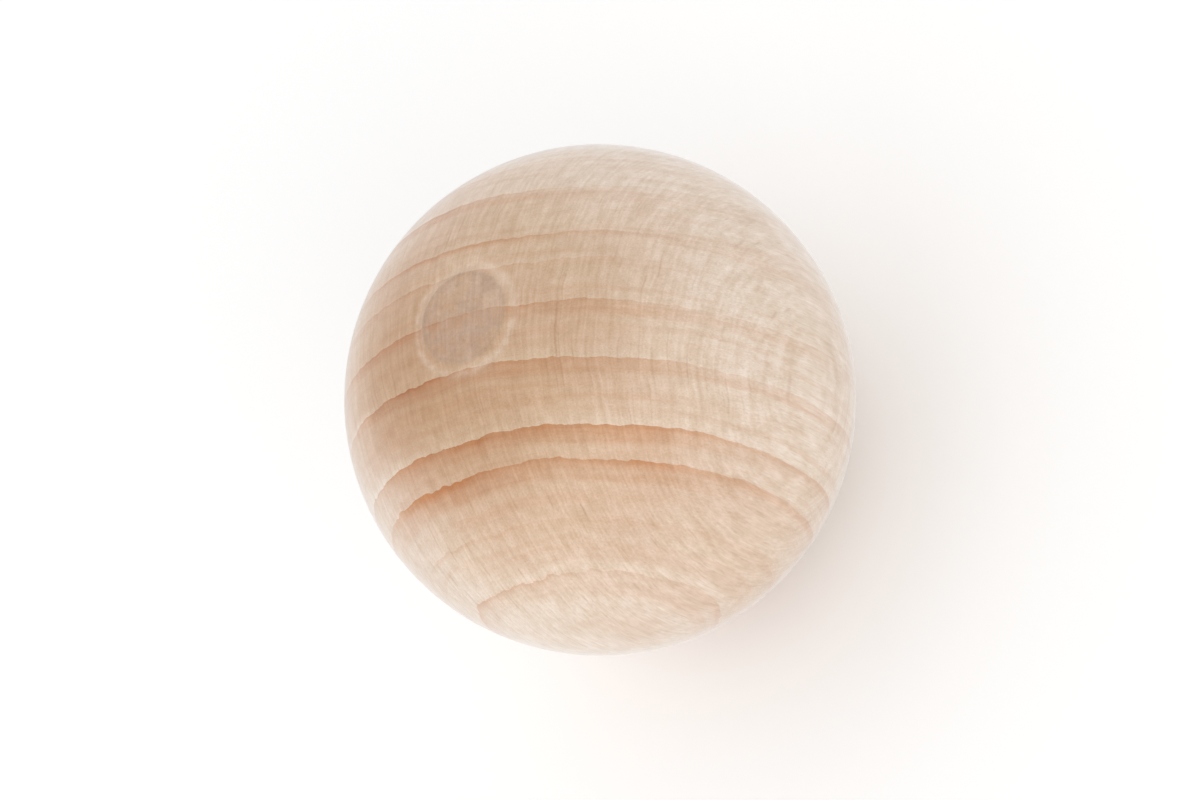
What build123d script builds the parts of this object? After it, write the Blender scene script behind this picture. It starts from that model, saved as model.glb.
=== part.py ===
"""A turned wooden ball with no hole, in bare sanded beech.

The ball is one piece, turned from a square stick with the grain along the
turning axis, so +Z is both.  The origin is the centre of the ball.  Where the
lathe held it and parted it off, each pole keeps a small flat disc of end
grain, and round the disc the tool's rounded nose has left a shallow ring.
The ball stands on the lower disc.  Sizes are in millimetres.
"""

import os
from math import sqrt

from build123d import *

# Driving dimensions
ball_diameter = 30.0  # across the middle, the size that such a ball is sold by
disc_diameter = 5.6  # flat end-grain disc at each pole
ring_width = 0.95  # from the disc's edge out to where the round of the ball begins
ring_depth = 0.11  # how far the ring sags below a straight line between its two edges

# Worked out from them
ball_radius = ball_diameter / 2
disc_radius = disc_diameter / 2
ring_radius = disc_radius + ring_width


def height_on_ball(radius):
    """Height of the ball's round surface above its middle, this far from the axis."""
    return sqrt(ball_radius**2 - radius**2)


disc_height = height_on_ball(disc_radius)
ring_height = height_on_ball(ring_radius)

with BuildPart() as ball:
    # Half of the section: the right-hand side of a cut through both poles
    with BuildSketch(Plane.XZ) as half_section:
        with BuildLine() as outline:
            turning_axis = Line((0, -disc_height), (0, disc_height))
            disc = Line(turning_axis @ 1, (disc_radius, disc_height))
            ring = SagittaArc(disc @ 1, (ring_radius, ring_height), -ring_depth)
            mirror(disc, about=Plane.XZ)
            mirror(ring, about=Plane.XZ)
            ThreePointArc(ring @ 1, (ball_radius, 0), (ring_radius, -ring_height))
        make_face()
    revolve(axis=Axis.Z)

ball.part.label = "ball"
os.makedirs("parts", exist_ok=True)
export_step(ball.part, "parts/ball.step")

print(f"ball: {ball.part.volume / 1000:.3f} cm3, stands {2 * disc_height:.3f} mm high")
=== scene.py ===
# %% [markdown]
# # A turned wooden ball
#
# The object is a plain beech ball, 30 mm across, turned between the two ends of a
# lathe and sanded in a tumbling barrel. It has no hole. Where the lathe held it, each
# pole keeps a small flat disc of end grain with a shallow ring round it, and it stands
# on the lower disc.
#
# The shape is simple, so nearly all of the looks are in the wood. This lesson builds
# the turned surface first, as a grid worked out with numpy, and then grows the beech
# through it as a solid pattern: growth rings about a pith, rays that run out from the
# pith, and fibres along the grain. The ball cuts through that pattern as the tool cut
# through the tree, so the loops, arches and flecks come out where they do on a real one.

from math import cos, pi, radians, sin, sqrt

import bpy
import numpy as np
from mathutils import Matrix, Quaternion, Vector


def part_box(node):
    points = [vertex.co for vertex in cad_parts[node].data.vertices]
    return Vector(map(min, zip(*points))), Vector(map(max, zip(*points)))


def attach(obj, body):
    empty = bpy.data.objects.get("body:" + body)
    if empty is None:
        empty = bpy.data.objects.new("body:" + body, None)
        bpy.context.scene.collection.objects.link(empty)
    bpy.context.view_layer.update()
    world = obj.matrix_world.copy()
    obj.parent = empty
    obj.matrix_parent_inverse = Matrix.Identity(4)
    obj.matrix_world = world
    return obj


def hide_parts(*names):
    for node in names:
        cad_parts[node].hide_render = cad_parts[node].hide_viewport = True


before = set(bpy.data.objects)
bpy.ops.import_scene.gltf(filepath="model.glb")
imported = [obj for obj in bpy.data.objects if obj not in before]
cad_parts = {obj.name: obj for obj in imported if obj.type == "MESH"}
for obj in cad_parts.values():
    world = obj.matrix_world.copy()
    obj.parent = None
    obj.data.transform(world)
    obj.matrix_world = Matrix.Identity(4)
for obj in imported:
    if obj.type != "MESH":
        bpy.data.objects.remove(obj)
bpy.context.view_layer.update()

# %% [markdown]
# ## Sizes
#
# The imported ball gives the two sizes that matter: how wide it is, and how high its flat
# discs stand. A flat cut off a ball is a circle, so its radius follows from those two.
# Only the ring's width and depth are written out. Blender works in metres here, and `MM`
# keeps the small numbers readable.

# %% Read the sizes off the part
MM = 0.001

ball_low, ball_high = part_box("ball")
ball_radius = round(max(ball_high.x, ball_high.y), 4)
disc_height = ball_high.z
disc_radius = sqrt(ball_radius**2 - disc_height**2)
ring_width = 0.95 * MM
ring_depth = 0.11 * MM
ring_radius = disc_radius + ring_width
print(f"radius {ball_radius / MM:.2f} mm, disc radius {disc_radius / MM:.2f} mm")

# %% [markdown]
# ## Camera
#
# A long lens from about a metre away keeps the outline almost a true circle. It looks
# down at 51 degrees and is turned 59 degrees about its line of sight, as over a ball
# that has rolled a little: that puts the disc at the upper left and lays the growth
# rings level. The frame is three units wide and two high, and the lens follows from how
# much of its height the ball should fill.

# %% Make the camera
CAMERA_ELEVATION = radians(51)
CAMERA_ROLL = radians(-59)
CAMERA_DISTANCE = 33 * 2 * ball_radius
BALL_SHARE_OF_HEIGHT = 0.64
FRAME_ASPECT = 1200 / 800
SENSOR_WIDTH = 36

camera_data = bpy.data.cameras.new("camera")
camera = bpy.data.objects.new("camera", camera_data)
bpy.context.scene.collection.objects.link(camera)
bpy.context.scene.camera = camera
towards_camera = Vector((0, -cos(CAMERA_ELEVATION), sin(CAMERA_ELEVATION)))
camera.location = towards_camera * CAMERA_DISTANCE
camera.rotation_mode = "QUATERNION"
level_camera = (-towards_camera).to_track_quat("-Z", "Y")
camera.rotation_quaternion = level_camera @ Quaternion((0, 0, 1), CAMERA_ROLL)
frame_width = 2 * ball_radius / BALL_SHARE_OF_HEIGHT * FRAME_ASPECT
camera_data.sensor_width = SENSOR_WIDTH
camera_data.lens = SENSOR_WIDTH * CAMERA_DISTANCE / frame_width
camera_data.clip_start = 0.01
camera_data.clip_end = 10
bpy.context.scene.view_settings.view_transform = "Standard"
print(f"lens {camera_data.lens:.0f} mm at {CAMERA_DISTANCE:.2f} m")

# %% [markdown]
# ## The turned section
#
# A lathe makes one curve and spins it, so that is how the ball is made here. The curve
# could come from a few control points, but a turned section is a string of straight
# lines and arcs, and working it out keeps every size true. It is first sampled every
# hundredth of a millimetre. Then a moving average rounds its corners, the way tumbling
# with other balls rounds them on the real one.

# %% Section from the pole to the widest place
DISC_POINTS = 400
RING_POINTS = 200
ROUND_POINTS = 2000
FINE_STEP = 0.01 * MM
TUMBLED_EDGE = 0.07 * MM


def arc_that_sags(start, end, sag, count):
    """Points on the circle through start and end that dips by sag below their chord.

    The circle's radius is (half chord squared + sag squared) / (2 sag). Its centre lies
    on the outer side, and the points turn about it at equal angles.
    """
    chord = end - start
    half = np.linalg.norm(chord) / 2
    along = chord / (2 * half)
    inward = np.array([along[1], -along[0]])
    radius = (half**2 + sag**2) / (2 * sag)
    centre = (start + end) / 2 + inward * (sag - radius)
    reach = np.arcsin(half / radius)
    turn = np.linspace(-reach, reach, count)[:, None]
    return centre + radius * (np.sin(turn) * along + np.cos(turn) * inward)


def quarter_section():
    """(radius, height) pairs from the top pole to the widest place, evenly spaced.

    Flat disc, then the sagging arc of the ring, then the round of the ball, where a
    point at angle a from the axis lies at (R sin a, R cos a).
    """
    disc_edge = np.array([disc_radius, disc_height])
    ring_edge = np.array([ring_radius, sqrt(ball_radius**2 - ring_radius**2)])
    disc = np.linspace([0, disc_height], disc_edge, DISC_POINTS)
    ring = arc_that_sags(disc_edge, ring_edge, ring_depth, RING_POINTS)
    angle = np.linspace(np.arcsin(ring_radius / ball_radius), pi / 2, ROUND_POINTS)
    round_part = ball_radius * np.stack([np.sin(angle), np.cos(angle)], axis=1)
    points = np.concatenate([disc, ring[1:], round_part[1:]])
    steps = np.linalg.norm(np.diff(points, axis=0), axis=1)
    length = np.concatenate([[0], np.cumsum(steps)])
    even = np.arange(0, length[-1], FINE_STEP)
    return np.stack([np.interp(even, length, points[:, i]) for i in (0, 1)], axis=1)


def tumbled(section):
    """The section with its corners rounded by a Gaussian moving average.

    The curve is carried on past both ends by its own mirror image, so that the pole
    stays flat and the widest place stays upright.
    """
    reach = int(5 * TUMBLED_EDGE / FINE_STEP)
    offset = np.arange(-reach, reach + 1) * FINE_STEP
    weight = np.exp(-0.5 * (offset / TUMBLED_EDGE) ** 2)
    weight /= weight.sum()
    before = section[1 : reach + 1][::-1] * [-1, 1]
    after = section[-reach - 1 : -1][::-1] * [1, -1]
    carried_on = np.concatenate([before, section, after])
    return np.stack(
        [np.convolve(carried_on[:, i], weight, mode="valid") for i in (0, 1)], axis=1
    )


section = tumbled(quarter_section())
print(f"section of {len(section)} points, ends at radius {section[-1, 0] / MM:.3f} mm")

# %% [markdown]
# ## The surface as a grid
#
# The ball is a function of two parameters: how far along the section, and how far round
# the axis. Rows lie close together on the disc and the ring, where there is something to
# show, and further apart on the plain round.

# %% Rows and columns
COLUMNS = 384
DISC_ROW = 0.085 * MM
RING_ROW = 0.055 * MM
ROUND_ROW = 0.30 * MM
DISC_SHARE = 0.94  # of the disc's radius, where the rows of its edge begin
RING_SHARE = 1.03  # of the ring's radius, where the rows begin to spread
SPREAD_OVER = 3 * MM


def rows_along(section):
    """Which points of the section become rows: their spacing follows the place.

    The row number grows by (one step) / (wanted spacing) from point to point, and the
    rows are laid evenly along that sum.
    """
    radius = section[:, 0]
    wanted = np.where(radius < disc_radius * DISC_SHARE, DISC_ROW, RING_ROW)
    plain = np.clip((radius - ring_radius * RING_SHARE) / SPREAD_OVER, 0, 1)
    plain[np.argmax(radius) :] = 1
    wanted = wanted + (ROUND_ROW - wanted) * plain
    count = np.cumsum(FINE_STEP / wanted)
    total = int(round(count[-1]))
    return np.interp(np.linspace(count[0], count[-1], total), count, np.arange(len(count)))


def turned_surface(section):
    """Grid of points, rows from the top pole to the bottom pole and columns round the axis.

    A row at radius r and height z is the circle (r cos t, r sin t, z).
    """
    place = rows_along(section)
    upper = np.stack(
        [np.interp(place, np.arange(len(section)), section[:, i]) for i in (0, 1)], axis=1
    )
    lower = upper[:-1][::-1] * [1, -1]
    rows = np.concatenate([upper, lower])[1:-1]
    turn = np.arange(COLUMNS) * 2 * pi / COLUMNS
    x = rows[:, 0, None] * np.cos(turn)
    y = rows[:, 0, None] * np.sin(turn)
    z = np.broadcast_to(rows[:, 1, None], x.shape)
    return np.stack([x, y, z], axis=2)


grid = turned_surface(section)
print(f"grid of {grid.shape[0]} rows by {grid.shape[1]} columns")

# %% [markdown]
# ## Sanding hollows and torn grain
#
# Tumbling leaves very shallow hollows on the round, and the parting tool tears the end
# grain of the discs and pulls small pits out of it. A sum of sine waves in random
# directions gives the hollows and the tearing, and bell curves give the pits. The relief
# only ever goes inwards, so the ball never grows past its size.

# %% Lay the relief
SANDED_AWAY = 0.008 * MM
SANDING_RELIEF = 0.012 * MM
SANDING_LENGTH = 7 * MM
SANDING_WAVES = 40
DISC_RELIEF = 0.02 * MM
TORN_LENGTH = 0.9 * MM
TORN_WAVES = 60
TORN_SHARE = 0.95  # of the disc's radius, where the torn grain ends
TORN_FADE = 0.3 * MM
PITS = 22  # on each disc
PIT_SHARE = 0.86
PIT_SIZES = (0.06, 0.13)  # in mm, as are the depths
PIT_DEPTHS = (0.02, 0.07)
WAVE_LIMIT = 3.2  # nearly all of a sum of waves lies within this many of its spreads
rng = np.random.default_rng(7)


def waves(points, length, count):
    """Smooth random relief from -1 to 1: a sum of sine waves in random directions.

    The waves measure from length / 1.6 to length / 0.6, and the spread of their sum is
    the root of count / 2.
    """
    direction = rng.normal(size=(count, 3))
    direction /= np.linalg.norm(direction, axis=1, keepdims=True)
    stretch = rng.uniform(0.6, 1.6, size=(count, 1)) * 2 * pi / length
    phase = rng.uniform(0, 2 * pi, size=count)
    total = np.sin(points @ (direction * stretch).T + phase).sum(axis=1)
    return total / (WAVE_LIMIT * sqrt(count / 2))


def pits(points, side):
    """Depth of the small pits torn out of the end grain of one disc.

    Each pit is a bell curve of the distance from its middle.
    """
    reach = disc_radius * PIT_SHARE * np.sqrt(rng.uniform(0, 1, PITS))
    turn = rng.uniform(0, 2 * pi, PITS)
    middle = np.stack([reach * np.cos(turn), reach * np.sin(turn)], axis=1)
    size = rng.uniform(*PIT_SIZES, PITS) * MM
    depth = rng.uniform(*PIT_DEPTHS, PITS) * MM
    gap = np.linalg.norm(points[:, None, :2] - middle[None], axis=2)
    bells = (depth * np.exp(-0.5 * (gap / size) ** 2)).sum(axis=1)
    return bells * (np.sign(points[:, 2]) == side)


def with_relief(grid):
    """The grid with shallow sanding hollows on the round and torn end grain on the discs."""
    points = grid.reshape(-1, 3).copy()
    distance = np.linalg.norm(points, axis=1, keepdims=True)
    from_axis = np.linalg.norm(points[:, :2], axis=1)
    on_disc = np.clip((disc_radius * TORN_SHARE - from_axis) / TORN_FADE, 0, 1)
    hollow = waves(points, SANDING_LENGTH, SANDING_WAVES) * 0.5 + 0.5
    hollow = (SANDED_AWAY + SANDING_RELIEF * hollow) * (1 - on_disc)
    torn = DISC_RELIEF * (waves(points, TORN_LENGTH, TORN_WAVES) * 0.5 + 0.5)
    torn = (torn + pits(points, 1) + pits(points, -1)) * on_disc
    points -= points / distance * hollow[:, None]
    points[:, 2] -= np.sign(points[:, 2]) * torn
    return points.reshape(grid.shape)


worn_grid = with_relief(grid)
deepest = np.linalg.norm(worn_grid - grid, axis=2).max()
print(f"the deepest pit goes {deepest / MM:.3f} mm in")


# %% Close the poles
def closed_mesh(name, grid):
    """A mesh of quads between neighbouring rows and columns, with a fan at each pole."""
    rows, columns = grid.shape[:2]
    top = grid[0].mean(axis=0)
    bottom = grid[-1].mean(axis=0)
    vertices = np.concatenate([grid.reshape(-1, 3), [top, bottom]])
    number = np.arange(rows * columns).reshape(rows, columns)
    beside = np.roll(number, -1, axis=1)
    quads = np.stack([number[:-1], number[1:], beside[1:], beside[:-1]], axis=2).reshape(-1, 4)
    top_fan = np.stack([np.full(columns, rows * columns), number[0], beside[0]], axis=1)
    bottom_fan = np.stack([np.full(columns, rows * columns + 1), beside[-1], number[-1]], axis=1)
    corners = np.concatenate([quads.ravel(), top_fan.ravel(), bottom_fan.ravel()])
    sizes = np.concatenate([np.full(len(quads), 4), np.full(2 * columns, 3)])
    starts = np.concatenate([[0], np.cumsum(sizes)[:-1]])
    mesh = bpy.data.meshes.new(name)
    mesh.vertices.add(len(vertices))
    mesh.vertices.foreach_set("co", vertices.ravel())
    mesh.loops.add(len(corners))
    mesh.loops.foreach_set("vertex_index", corners)
    mesh.polygons.add(len(sizes))
    mesh.polygons.foreach_set("loop_start", starts)
    mesh.polygons.foreach_set("use_smooth", np.ones(len(sizes), bool))
    mesh.update(calc_edges=True)
    mesh.validate()
    return mesh


mesh = closed_mesh("turned_ball", worn_grid)
ball = bpy.data.objects.new("turned_ball", mesh)
bpy.context.scene.collection.objects.link(ball)
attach(ball, "root")
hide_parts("ball")
triangles = sum(len(face.vertices) - 2 for face in mesh.polygons)
print(f"turned ball: {len(mesh.vertices)} vertices, {triangles} triangles")

# %% [markdown]
# ## A helper for shader nodes
#
# A solid wood needs a few dozen nodes, and naming each by hand hides the idea. `Graph`
# adds a node and returns its output in one call, so that the wood below reads like the
# formula it is. Anything given as a number is set on the socket itself.

# %% Graph helper


class Graph:
    """The node tree of a material or a world, with one short method for each kind of sum."""

    def __init__(self, owner):
        owner.use_nodes = True
        self.owner = owner
        self.tree = owner.node_tree
        self.tree.nodes.clear()

    def feed(self, socket, value):
        """Link an output into a socket, or set a plain value on it."""
        if isinstance(value, bpy.types.NodeSocket):
            self.tree.links.new(value, socket)
        else:
            socket.default_value = value

    def node(self, kind, inputs=(), **settings):
        """A node of this kind, with its settings and the inputs given by name or number."""
        made = self.tree.nodes.new("ShaderNode" + kind)
        for name, value in settings.items():
            setattr(made, name, value)
        for socket, value in dict(inputs).items():
            self.feed(made.inputs[socket], value)
        return made

    def calc(self, operation, *values, clamp=False):
        """One scalar sum."""
        made = self.node("Math", enumerate(values), operation=operation, use_clamp=clamp)
        return made.outputs[0]

    def vector(self, operation, *values):
        """One vector sum. Length and dot product come out as numbers."""
        made = self.node("VectorMath", enumerate(values), operation=operation)
        return made.outputs["Value" if operation in ("LENGTH", "DOT_PRODUCT") else "Vector"]

    def scale(self, value, factor):
        """A vector made factor times as long."""
        made = self.node("VectorMath", {"Vector": value, "Scale": factor}, operation="SCALE")
        return made.outputs["Vector"]

    def length(self, x, y):
        """The root of x squared plus y squared."""
        return self.calc("SQRT", self.calc("MULTIPLY_ADD", x, x, self.calc("MULTIPLY", y, y)))

    def split(self, value):
        """The x, y and z of a vector."""
        return self.node("SeparateXYZ", {0: value}).outputs

    def join(self, x, y, z):
        """A vector from three numbers."""
        return self.node("CombineXYZ", {0: x, 1: y, 2: z}).outputs[0]

    def step(self, value, low, high, out_low=0.0, out_high=1.0):
        """A smooth step from out_low to out_high as value goes from low to high."""
        inputs = {"Value": value, "From Min": low, "From Max": high}
        inputs.update({"To Min": out_low, "To Max": out_high})
        made = self.node("MapRange", inputs, interpolation_type="SMOOTHSTEP")
        return made.outputs[0]

    def noise(self, where, size, detail=2.0, roughness=0.5):
        """Noise whose blobs measure size, three numbers, along the three axes."""
        scaled = self.vector("DIVIDE", where, size)
        inputs = {"Vector": scaled, "Scale": 1.0, "Detail": detail, "Roughness": roughness}
        return self.node("TexNoise", inputs).outputs

    def colour(self, share, first, second, mode="MIX"):
        """Two colours mixed by share, or multiplied and so on by that much."""
        inputs = {"Factor": share, 6: first, 7: second}
        made = self.node("Mix", inputs, data_type="RGBA", blend_type=mode)
        return made.outputs[2]

    def finish(self, shader, kind="Material"):
        """Link the shader to the output and hand the material or world back."""
        self.node("Output" + kind, {0: shader.outputs[0]})
        print(f"{self.owner.name}: {len(self.tree.nodes)} nodes")
        return self.owner


print("Graph is ready")

# %% [markdown]
# ## Where a point lies in the tree
#
# The ball was cut from a stick whose grain runs along the turning axis, some 100 mm
# from the pith, which is off to the front left. Seen from the pith, a point has three
# coordinates: how far out it is, how far round, and how far along the grain. Rings
# depend on the first, rays are thin in the second, and fibres are long in the third.
# No tree is perfectly round, so a slow wander bends the rings a little before they are
# measured, and on this ball the inner rings also bend outwards at one side and inwards
# at the other.

# %% Tree coordinates
PITH_DISTANCE = 100.0  # millimetres, as is everything in the wood's pattern
PITH_TURN = radians(52)
GRAIN_TILT = radians(-3)
SLOW_WANDER = 1.8
SLOW_SIZE = (16, 16, 45)
QUICK_WANDER = 0.5
QUICK_SIZE = (2.6, 2.6, 12)
BEND_OUT = (0.0, -9.0, 0.0, 0.5)  # around from and to, and how far the rings bend at each
BEND_IN = (4.0, 8.0, 0.0, 0.2)
BENT_RINGS = (1.0, -4.0)  # outward, from where the bend starts to where it is full


def wander(g, place, size, reach, detail):
    """A smooth random shift, up to about a quarter of reach each way."""
    noise = g.noise(place, size, detail=detail)["Color"]
    return g.scale(g.vector("SUBTRACT", noise, (0.5, 0.5, 0.5)), reach)


def ring_bend(g, outward, around):
    """How many millimetres the inner rings are bent outwards here, or inwards if negative."""
    bend = g.calc("SUBTRACT", g.step(around, *BEND_OUT), g.step(around, *BEND_IN))
    return g.calc("MULTIPLY", bend, g.step(outward, *BENT_RINGS))


def tree_coordinates(g):
    """(turned, place) of the shaded point, both in mm and seen from the pith.

    Turned is a plain x, y and z, with z along the grain. Place is (outward, around, along).
    """
    here = g.scale(g.node("TexCoord").outputs["Object"], 1 / MM)
    turned = g.node("Mapping", {"Vector": here, "Rotation": (0, 0, PITH_TURN)}).outputs[0]
    tilt = {"Vector": turned, "Rotation": (GRAIN_TILT, 0, 0), "Location": (0, PITH_DISTANCE, 0)}
    turned = g.node("Mapping", tilt).outputs[0]
    slow = wander(g, turned, SLOW_SIZE, SLOW_WANDER, 1.0)
    quick = wander(g, turned, QUICK_SIZE, QUICK_WANDER, 2.0)
    x, y, _ = g.split(g.vector("ADD", turned, g.vector("ADD", slow, quick)))
    outward = g.calc("SUBTRACT", g.length(x, y), PITH_DISTANCE)
    around = g.calc("MULTIPLY", g.calc("ARCTAN2", x, y), PITH_DISTANCE)
    outward = g.calc("SUBTRACT", outward, ring_bend(g, outward, around))
    return turned, g.join(outward, around, g.split(turned)[2])


print(f"the pith is {PITH_DISTANCE:.0f} mm away")

# %% [markdown]
# ## Growth rings
#
# Each year's wood starts pale, darkens slowly and ends in a thin brown line, and then
# the next year starts pale at once. A repeating wave would make every ring alike, and
# real ones are anything but, so the widths and tones are a short list. A colour ramp
# with flat steps hands them to the shader: one step for each ring, whose red, green,
# blue and alpha are four plain numbers.

# %% Ring widths
RINGS = (  # width in mm, how pale it starts and how brown it ends, from the pith outwards
    (3.0, 0.2, 0.28),
    (2.1, 0.1, 0.05),
    (2.85, 0.1, 0.78),
    (1.85, 0.2, 0.85),
    (3.8, 0.9, 0.60),
    (3.25, 0.9, 0.56),
    (2.75, 0.6, 0.32),
    (1.8, 0.3, 0.34),
    (3.65, 0.5, 0.58),
    (2.35, 1.0, 0.40),
    (2.6, 0.4, 0.50),
    (2.6, 0.4, 0.40),
)
FIRST_RING = -16.2
RINGS_SPAN = sum(width for width, _, _ in RINGS)


def ring_lookup(g, outward):
    """(mm past the ring's start, mm short of its end, pale, brown) for the ring at outward.

    Red holds where the ring starts and green how wide it is, both as shares of the whole
    span. Blue holds how pale it starts and alpha how brown it ends.
    """
    share = g.calc("DIVIDE", g.calc("SUBTRACT", outward, FIRST_RING), RINGS_SPAN)
    ramp = g.node("ValToRGB", {"Fac": share})
    ramp.color_ramp.interpolation = "CONSTANT"
    steps = ramp.color_ramp.elements
    steps.remove(steps[1])
    start = 0.0
    for width, pale, brown in RINGS:
        step = steps.new(start / RINGS_SPAN) if start else steps[0]
        step.color = (start / RINGS_SPAN, width / RINGS_SPAN, pale, brown)
        start += width
    start, width, pale = g.node("SeparateColor", {0: ramp.outputs["Color"]}).outputs
    past = g.calc("MULTIPLY", g.calc("SUBTRACT", share, start), RINGS_SPAN)
    short = g.calc("SUBTRACT", g.calc("MULTIPLY", width, RINGS_SPAN), past)
    brown = ramp.outputs["Alpha"]
    return g.calc("MAXIMUM", past, 0.0), g.calc("MAXIMUM", short, 0.0), pale, brown


print(f"{len(RINGS)} rings over {RINGS_SPAN:.1f} mm")

# %% Ring tones
LINE_WIDTHS = (0.09, 0.22)  # of the faintest ring and of the brownest
LINE_TONES = (0.12, 0.26)
FADE_WIDTHS = (0.10, 2.10)
FADE_TONE = 0.72
EARLY_WIDTH = 0.65
WEAKER_LINE = (-4.0, 5.0, 1.75, 0.58)  # around from and to, and the strength at each
STRONGER_LINE = (9.0, 14.0, 0.0, 0.35)
NOTCH_SIZE = (0.65, 9, 4)  # around, outward and along
NOTCH_REACH = 0.32


def ring_tone(g, place):
    """(late, early): how brown the year's last wood is here, and how pale its first.

    Late is a thin line and a broad fade before the ring's end, and early is a fade after
    its start. The line and the early wood fall off as exp(-distance / width), the broad
    fade is a smooth step, and the browner the ring, the broader both. On the way round
    the tree the line goes from strong to weak and back to middling. The rings are notched
    a little, because they dip where rays cross them.
    """
    outward, around, along = g.split(place)
    notch = g.noise(g.join(around, outward, along), NOTCH_SIZE)["Fac"]
    notched = g.calc("MULTIPLY_ADD", g.calc("SUBTRACT", notch, 0.5), NOTCH_REACH, outward)
    past, short, pale, brown = ring_lookup(g, notched)
    thin, tone, broad = (
        g.calc("MULTIPLY_ADD", brown, brownest - faintest, faintest)
        for faintest, brownest in (LINE_WIDTHS, LINE_TONES, FADE_WIDTHS)
    )
    line = g.calc("EXPONENT", g.calc("MULTIPLY", g.calc("DIVIDE", short, thin), -1.0))
    line = g.calc("MULTIPLY", line, tone)
    strength = g.calc("ADD", g.step(around, *WEAKER_LINE), g.step(around, *STRONGER_LINE))
    line = g.calc("MULTIPLY", line, strength)
    fade = g.calc("MULTIPLY", g.step(g.calc("DIVIDE", short, broad), 1.0, 0.0), brown)
    late = g.calc("MULTIPLY_ADD", fade, FADE_TONE, line)
    early = g.calc("EXPONENT", g.calc("DIVIDE", past, -EARLY_WIDTH))
    return late, g.calc("MULTIPLY", early, pale)


print("ring lines are", LINE_WIDTHS[0], "to", LINE_WIDTHS[1], "mm wide")

# %% [markdown]
# ## Rays
#
# Beech is known by its rays: thin upright sheets of cells that run straight out from
# the pith. Cut across, they are fine lines square to the rings. Cut on the side that
# faces the pith or the bark, they are short dark dashes along the grain, and cut along
# their length they are shiny flecks. One pattern gives all three: a cell pattern places
# a middle for each ray, and a lens round that middle is long outwards, a few
# millimetres tall and very thin.

# %% Ray lenses
WIDE_RAYS = {"cell": (9, 0.80, 2.0), "lens": (5, 0.09, 0.75), "seed": 3.1}
THIN_RAYS = {"cell": (5, 0.30, 1.1), "lens": (2.8, 0.05, 0.42), "seed": 8.4}


def rays(g, place, cell, lens, seed):
    """How deep the point lies in a ray, from 0 to 1, times that ray's own strength.

    place is (outward, around, along), cell is the room that each ray has that way, and
    lens is half of its size. The distance from the cell's middle, divided by the lens,
    is 1 at the ray's skin. The seed only moves the pattern.
    """
    room = g.vector("ADD", g.vector("DIVIDE", place, cell), (seed, seed * 1.7, seed * 0.6))
    cells = g.node("TexVoronoi", {"Vector": room, "Scale": 1.0, "Randomness": 1.0})
    offset = g.vector("SUBTRACT", room, cells.outputs["Position"])
    in_lens = g.vector("DIVIDE", g.vector("MULTIPLY", offset, cell), lens)
    inside = g.step(g.vector("LENGTH", in_lens), 1.0, 0.2)
    strength = g.split(cells.outputs["Color"])[0]
    return g.calc("MULTIPLY", inside, g.step(strength, 0.1, 1.0))


print("wide rays stand", WIDE_RAYS["cell"][1], "mm apart, thin ones", THIN_RAYS["cell"][1])

# %% [markdown]
# ## Bare sanded beech
#
# The tones come together here: pale cream between the rings, a warmer brown at each
# ring's end, thin brown rays, and fibres and pores so fine that they only blur the
# surface. A few soft clouds are browner and one is paler: most browner ones are the
# wood's own uneven tone, one is half that and half painted shade, and the paler one is
# painted light. Towards one side the wood grows paler while its rings and rays fade out,
# and it grows paler towards the pith too; both are partly its own tone and partly painted
# light. The brown of the rings weakens at the opposite edge too, which is painted light.

# %% Where the rings fade
# Along this direction the wood is painted paler and its rings and rays fade: partly the wood's
# own tone, partly painted light.
PALE_AND_LIT_SIDE = (0.60, 0.70, -0.38)  # the direction in which the rings grow paler
LATE_FADE = (-2.5, 6.0, 1.0, 0.32)  # from and to along that, and the strength at each
EARLY_FADE = (-2.5, 6.0, 0.85, 0.28)
# Painted light: towards this edge the ring lines weaken, as if whitened by bright surroundings.
LIT_EDGE_FADE = (-10.5, -6.0, 0.35, 1.0)  # the same, but going round the tree
PATCH_SIZE = (4, 4, 8)
PATCH_TONES = (0.65, 1.2)
STREAK_SIZE = (0.45, 12, 25)
STREAK_TONES = (-0.05, 0.22)


def fading_rings(g, turned, place, towards_pale_and_lit):
    """(late, early) of ring_tone, uneven from patch to patch and weaker at two sides.

    Both are multiplied by smooth steps, and a faint streak along the grain is added. The
    weakening at the paler side is partly painted light, and at the far edge it is painted light.
    """
    late, early = ring_tone(g, place)
    patch = g.noise(turned, PATCH_SIZE)["Fac"]
    late = g.calc("MULTIPLY", late, g.step(patch, 0.25, 0.75, *PATCH_TONES))
    # The rings fade towards the paler side: partly in the wood, partly painted light.
    late = g.calc("MULTIPLY", late, g.step(towards_pale_and_lit, *LATE_FADE))
    early = g.calc("MULTIPLY", early, g.step(towards_pale_and_lit, *EARLY_FADE))
    # Painted light: the ring lines weaken near the far edge.
    late = g.calc("MULTIPLY", late, g.step(g.split(place)[1], *LIT_EDGE_FADE))
    streak = g.noise(place, STREAK_SIZE, detail=3.0)["Fac"]
    late = g.calc("ADD", late, g.step(streak, 0.35, 0.75, *STREAK_TONES), clamp=True)
    return late, early


print("the rings keep", LATE_FADE[3], "of their brown at the pale side")

# %% Fibres and pores
FIBRE_SIZE = (0.09, 0.09, 1.6)
HATCH_SIZE = (5, 0.20, 1.8)
MOTTLE_SIZE = (0.8, 0.8, 1.4)
PORE_SIZE = (0.06, 0.06, 0.7)
FIBRE_LIGHT = (0.90, 1.09)
HATCH_LIGHT = (0.91, 1.08)
MOTTLE_LIGHT = (0.915, 1.075)
TINT_POWERS = (0.75, 1.05, 1.50)


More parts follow.
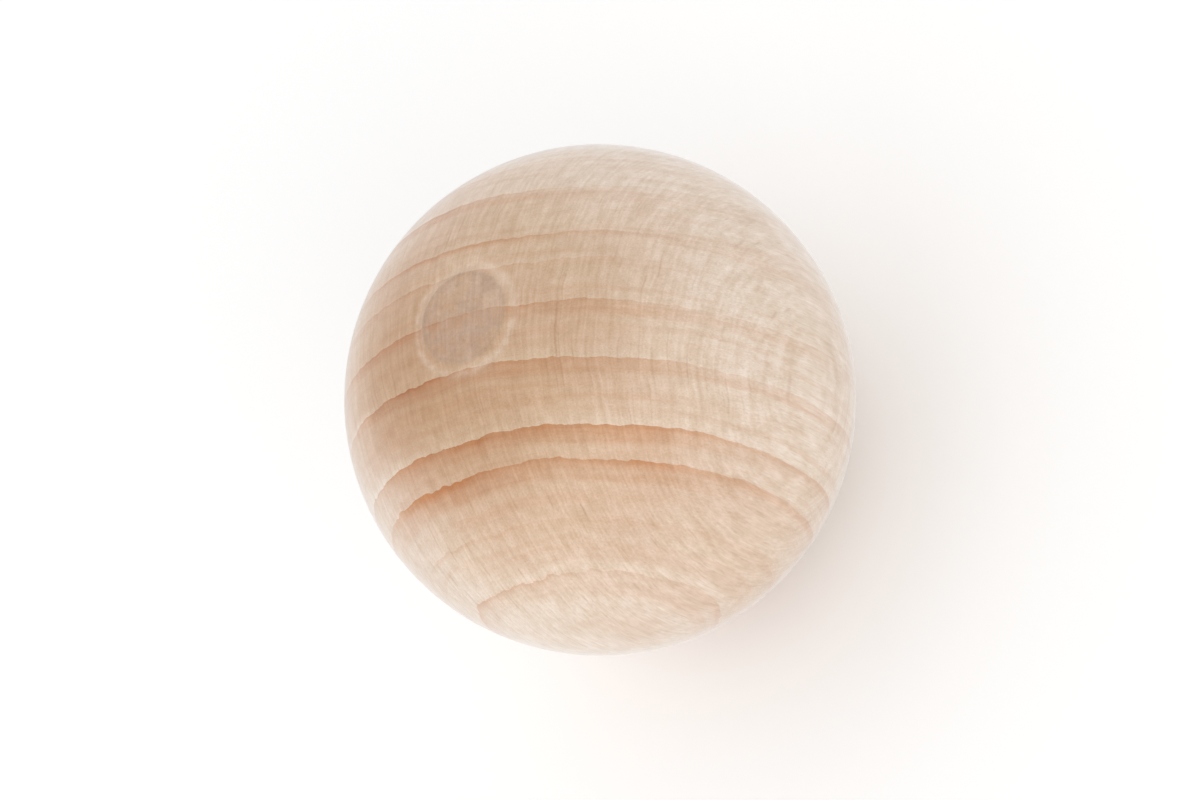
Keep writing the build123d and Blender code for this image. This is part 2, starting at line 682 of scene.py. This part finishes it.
def fine_grain(g, turned, place):
    """(tint, fibre, pore): what multiplies the colour, and how fibrous and porous it is.

    Three noises, stretched along the grain or along the rays, multiply into one grey
    level. The tint is that level raised to three powers, because darker fibres are
    warmer too.
    """
    fibre = g.noise(turned, FIBRE_SIZE, detail=3.0, roughness=0.6)["Fac"]
    hatch = g.noise(place, HATCH_SIZE, detail=2.0)["Fac"]
    mottle = g.noise(turned, MOTTLE_SIZE, detail=3.0, roughness=0.6)["Fac"]
    pore = g.step(g.noise(turned, PORE_SIZE, detail=1.0)["Fac"], 0.62, 0.74)
    light = g.step(fibre, 0.2, 0.8, *FIBRE_LIGHT)
    light = g.calc("MULTIPLY", light, g.step(hatch, 0.2, 0.8, *HATCH_LIGHT))
    light = g.calc("MULTIPLY", light, g.step(mottle, 0.25, 0.75, *MOTTLE_LIGHT))
    tint = g.join(*(g.calc("POWER", light, power) for power in TINT_POWERS))
    return tint, fibre, pore


print("fibres are", FIBRE_SIZE[0], "mm thick")

# %% Beech colours
PALE = (0.711, 0.531, 0.390, 1)
LATE = (0.560, 0.240, 0.085, 1)
EARLY = (0.800, 0.675, 0.560, 1)
PINK = (0.677, 0.480, 0.365, 1)
RAY = (0.470, 0.270, 0.150, 1)
PORE = (0.400, 0.250, 0.150, 1)
PINK_SIZE = (6, 6, 12)
PINK_SHARES = (0.0, 0.7)
PALER_AND_LIT_SIDE = (-2.0, 9.0, 0.0, 0.76)  # from and to along PALE_AND_LIT_SIDE, and how pale at each
# Paler towards the pith: partly the wood's own tone, partly painted light on that part of the
# outline.
PALER_AND_LIT_INSIDE = (-10.5, -15.0, 0.0, 0.73)  # the same, but outward
WIDE_RAY_FADE = (-2.0, 7.0, 0.42, 0.20)
THIN_RAY_SHARE = 0.28
PORE_SHARE = 0.22
TONE_SHADE_AND_LIGHT_CLOUDS = (  # outward, around and along of the middle, reach in mm, and what it multiplies by
    ((-6.0, -2.4, 13.2), 9.5, (0.900, 0.845, 0.785, 1)),
    ((-0.8, -4.2, 14.4), 7.0, (0.900, 0.830, 0.760, 1)),
    ((-7.0, 5.3, 12.3), 12.0, (0.960, 0.918, 0.865, 1)),
    ((4.7, 9.2, 10.7), 5.0, (0.948, 0.903, 0.870, 1)),
    # Half the wood's own tone, half painted shade at the left edge.
    ((0.7, -7.8, 12.8), 9.0, (0.955, 0.910, 0.860, 1)),
    # Painted light: a paler patch near the outline.
    ((-9.5, -10.0, 8.0), 8.0, (1.050, 1.120, 1.190, 1)),
)
CLOUD_CORE = 0.3  # of its reach, inside which a cloud has its full shade
print(f"{len(TONE_SHADE_AND_LIGHT_CLOUDS)} clouds lie over the beech")


# %% Wood colour, with some painted light and shade
def wood_colour(g, turned, place, pore):
    """(colour, ray): the colour of beech with some painted light and shade, and how deep the
    point lies in a wide ray.
    """
    towards_pale_and_lit = g.vector("DOT_PRODUCT", place, PALE_AND_LIT_SIDE)
    late, early = fading_rings(g, turned, place, towards_pale_and_lit)
    pink = g.noise(turned, PINK_SIZE, detail=3.0)["Fac"]
    # Paler towards one side and towards the pith: partly the wood's own tone, partly painted
    # light.
    pale = g.step(towards_pale_and_lit, *PALER_AND_LIT_SIDE)
    pale = g.calc("MAXIMUM", pale, g.step(g.split(place)[0], *PALER_AND_LIT_INSIDE))
    colour = g.colour(g.step(pink, 0.3, 0.75, *PINK_SHARES), PALE, PINK)
    colour = g.colour(pale, colour, EARLY)
    colour = g.colour(late, colour, LATE)
    colour = g.colour(early, colour, EARLY)
    # Each cloud multiplies the colour; the fifth is partly painted shade and the last is painted
    # light.
    for middle, reach, shade in TONE_SHADE_AND_LIGHT_CLOUDS:
        off = g.vector("LENGTH", g.vector("SUBTRACT", place, middle))
        colour = g.colour(g.step(off, reach, CLOUD_CORE * reach), colour, shade, "MULTIPLY")
    wide = rays(g, place, **WIDE_RAYS)
    thin = rays(g, place, **THIN_RAYS)
    wide_share = g.calc("MULTIPLY", wide, g.step(towards_pale_and_lit, *WIDE_RAY_FADE))
    colour = g.colour(wide_share, colour, RAY)
    colour = g.colour(g.calc("MULTIPLY", thin, THIN_RAY_SHARE), colour, RAY)
    colour = g.colour(g.calc("MULTIPLY", pore, PORE_SHARE), colour, PORE)
    return colour, wide


print("clean wood is ready")

# %% [markdown]
# ## The marks at the poles
#
# Cut fibre ends drink in light, so the wood is browner near the poles. On the two discs
# the parting tool crushed the fibres, which half hides the rings, and left very faint
# turning lines. The edge of each disc is a little darker, which is painted shade where
# the flat meets the ring, and the ring round it has a paler rim, which is partly polished
# by tumbling and partly a painted highlight. All of these depend only on a point's distance
# from the axis and its height, so each mark is a bell curve or a smooth step of one of the two.

# %% Pole marks
CRUSHED = (0.490, 0.325, 0.230, 1)
CRUSHED_SHARES = (0.30, 0.90)
DISC_EDGE_SHADE = (0.430, 0.290, 0.190, 1)
LIT_AND_POLISHED_RIM = (0.780, 0.620, 0.490, 1)
END_GRAIN = (0.896, 0.846, 0.772, 1)  # multiplies the colour near the poles
END_GRAIN_HEIGHTS = (0.68, 0.93)  # of the ball's radius
DISC_FADE = (0.2, -0.1)  # mm past the disc's edge, from clean wood to crushed
EDGE_SHADE_WIDTH = 0.17
RIM_PLACE = 0.58
RIM_WIDTH = 0.26
FAINT_SHARES = (0.15, 0.45)
SMEAR_SIZE = (1.1, 1.1, 1.1)
TOOL_STEP = 0.33
TOOL_WAVER = 9.0
TOOL_TONE = 0.012
print(f"each disc is crushed out to {disc_radius / MM + DISC_FADE[0]:.2f} mm from the axis")


# %% Lay the marks
def bell(g, value, middle, half_width):
    """A bump of height 1 round middle: exp(-((value - middle) / half_width) squared)."""
    off = g.calc("DIVIDE", g.calc("SUBTRACT", value, middle), half_width)
    return g.calc("EXPONENT", g.calc("MULTIPLY", g.calc("MULTIPLY", off, off), -1.0))


def pole_marks(g, turned, colour):
    """(colour, on_disc): the colour with its marks, and 1 on the discs and 0 off them.

    The turning lines are a sine of the distance from the axis, made to waver by noise.
    """
    x, y, z = g.split(g.scale(g.node("TexCoord").outputs["Object"], 1 / MM))
    from_axis = g.length(x, y)
    height = g.calc("ABSOLUTE", z)
    disc_mm = disc_radius / MM
    near_pole = g.step(height, 0.8 * disc_height / MM, 0.9 * disc_height / MM)
    on_disc = g.step(from_axis, *(disc_mm + past for past in DISC_FADE))
    on_disc = g.calc("MULTIPLY", on_disc, near_pole)
    # Painted shade: a darker ring at each disc's edge, where the flat meets the ring.
    edge = g.calc("MULTIPLY", bell(g, from_axis, disc_mm, EDGE_SHADE_WIDTH), near_pole)
    # The paler rim on the ring is partly tumbling polish and partly a painted highlight.
    rim = g.calc("MULTIPLY", bell(g, from_axis, disc_mm + RIM_PLACE, RIM_WIDTH), near_pole)
    end_grain = g.step(height, *(share * ball_radius / MM for share in END_GRAIN_HEIGHTS))
    smear = g.noise(turned, SMEAR_SIZE, detail=3.0, roughness=0.65)["Fac"]
    waver = g.calc("MULTIPLY", smear, TOOL_WAVER)
    lines = g.calc("SINE", g.calc("MULTIPLY_ADD", from_axis, 2 * pi / TOOL_STEP, waver))

    colour = g.colour(end_grain, colour, END_GRAIN, "MULTIPLY")
    crushed = g.calc("MULTIPLY", on_disc, g.step(smear, 0.35, 0.65, *CRUSHED_SHARES))
    colour = g.colour(crushed, colour, CRUSHED)
    lines = g.calc("MULTIPLY", lines, on_disc)
    colour = g.scale(colour, g.calc("MULTIPLY_ADD", lines, TOOL_TONE, 1.0))
    faint = g.step(smear, 0.35, 0.65, *FAINT_SHARES)
    # The darker edge is painted shade.
    colour = g.colour(g.calc("MULTIPLY", edge, faint), colour, DISC_EDGE_SHADE)
    # Painted highlight, partly tumbling polish: the paler rim.
    colour = g.colour(g.calc("MULTIPLY", rim, faint), colour, LIT_AND_POLISHED_RIM)
    return colour, on_disc


print("the marks are ready")

# %% [markdown]
# ## The finished beech
#
# Tumbled beech has no varnish. It is half matt, the crushed discs a little more so, and
# loose fibre ends give its outline a pale sheen. The bump is only 0.03 mm deep: fibres
# stand up, and pores and wide rays lie lower.

# %% Beech
ROUGHNESS = (0.42, 0.54)
DISC_ROUGHER = 0.12
SHEEN_WEIGHT = 1.0
SHEEN_ROUGHNESS = 0.32
BUMP_STRENGTH = 0.5
BUMP_DEPTH = 0.03 * MM
FIBRE_HEIGHT = 0.6
PORE_HEIGHT = -0.6
RAY_HEIGHT = -0.25


def beech():
    """Beech with rings, rays, fibres and pores, and crushed end grain on the discs."""
    g = Graph(bpy.data.materials.new("beech"))
    turned, place = tree_coordinates(g)
    tint, fibre, pore = fine_grain(g, turned, place)
    colour, ray = wood_colour(g, turned, place, pore)
    colour, on_disc = pole_marks(g, turned, colour)
    colour = g.vector("MULTIPLY", colour, tint)

    rough = g.step(fibre, 0.2, 0.8, *ROUGHNESS)
    rough = g.calc("MULTIPLY_ADD", on_disc, DISC_ROUGHER, rough)
    relief = g.calc("MULTIPLY", fibre, FIBRE_HEIGHT)
    relief = g.calc("MULTIPLY_ADD", pore, PORE_HEIGHT, relief)
    relief = g.calc("MULTIPLY_ADD", ray, RAY_HEIGHT, relief)
    lay = {"Height": relief, "Strength": BUMP_STRENGTH, "Distance": BUMP_DEPTH}
    bump = g.node("Bump", lay)
    surface = g.node(
        "BsdfPrincipled",
        {
            "Base Color": colour,
            "Roughness": rough,
            "Specular IOR Level": 0.5,
            "Sheen Weight": SHEEN_WEIGHT,
            "Sheen Roughness": SHEEN_ROUGHNESS,
            "Normal": bump.outputs[0],
        },
    )
    return g.finish(surface)


ball.data.materials.append(beech())

# %% [markdown]
# ## Floor
#
# A plain white floor, far wider than the view. It is lit like anything else, so the ball
# keeps its shadow, and a little light of its own that only the camera sees lifts it from
# pale grey to white.

# %% Floor
FLOOR_HALF = 3.0
FLOOR_PAINT = (0.93, 0.93, 0.93, 1)
FLOOR_GLOW = 0.12
WHITE = (1, 1, 1, 1)


def white_floor():
    """A white, matt material with a faint glow for the camera alone."""
    g = Graph(bpy.data.materials.new("white_floor"))
    seen = g.node("LightPath").outputs["Is Camera Ray"]
    paint = g.node("BsdfDiffuse", {"Color": FLOOR_PAINT})
    strength = g.calc("MULTIPLY", seen, FLOOR_GLOW)
    glow = g.node("Emission", {"Color": WHITE, "Strength": strength})
    return g.finish(g.node("AddShader", {0: paint.outputs[0], 1: glow.outputs[0]}))


floor_mesh = bpy.data.meshes.new("floor")
corners = np.array([(-1, -1), (1, -1), (1, 1), (-1, 1)]) * FLOOR_HALF
floor_mesh.from_pydata([(x, y, ball_low.z) for x, y in corners], [], [(0, 1, 2, 3)])
floor = bpy.data.objects.new("floor", floor_mesh)
bpy.context.scene.collection.objects.link(floor)
floor.data.materials.append(white_floor())
print("floor at", round(ball_low.z / MM, 3), "mm")

# %% [markdown]
# ## Light
#
# The ball stands in a white tent, which gives most of the light. Real tents have a dark
# opening for the lens, so the wood is a little darker where it faces that way and pale
# round its outline. A broad soft lamp low in front adds the roundness, and it is large
# beside the ball, so the shadow has no hard edge.

# %% Tent and lamp
TENT_LIGHT = 1.12
OPENING_LIGHT = 0.45
OPENING_EDGES = (radians(48), radians(26))
OPENING_PLACE = Vector((0.35, -0.45, 0.82)).normalized()
LAMP_SIZE = 0.9
LAMP_PLACE = Vector((-0.05, -1.00, 0.55))
LAMP_POWER = 2.7


def light_tent():
    """A white world with a darker round opening; the camera sees it plain white."""
    g = Graph(bpy.data.worlds.new("light_tent"))
    direction = g.node("TexCoord").outputs["Generated"]
    facing = g.vector("DOT_PRODUCT", direction, OPENING_PLACE)
    edge, inside = (cos(angle) for angle in OPENING_EDGES)
    strength = g.step(facing, edge, inside, TENT_LIGHT, OPENING_LIGHT)
    seen = g.node("LightPath").outputs["Is Camera Ray"]
    strength = g.step(seen, 0.0, 1.0, strength, 1.0)
    return g.finish(g.node("Background", {"Color": WHITE, "Strength": strength}), "World")


bpy.context.scene.world = light_tent()
lamp_data = bpy.data.lights.new("soft_lamp", "AREA")
lamp_data.shape = "DISK"
lamp_data.size = LAMP_SIZE
lamp_data.energy = LAMP_POWER
lamp = bpy.data.objects.new("soft_lamp", lamp_data)
lamp.location = LAMP_PLACE
lamp.rotation_mode = "QUATERNION"
lamp.rotation_quaternion = (-LAMP_PLACE).to_track_quat("-Z", "Y")
bpy.context.scene.collection.objects.link(lamp)
print("lamp", round(LAMP_PLACE.length, 2), "m away")
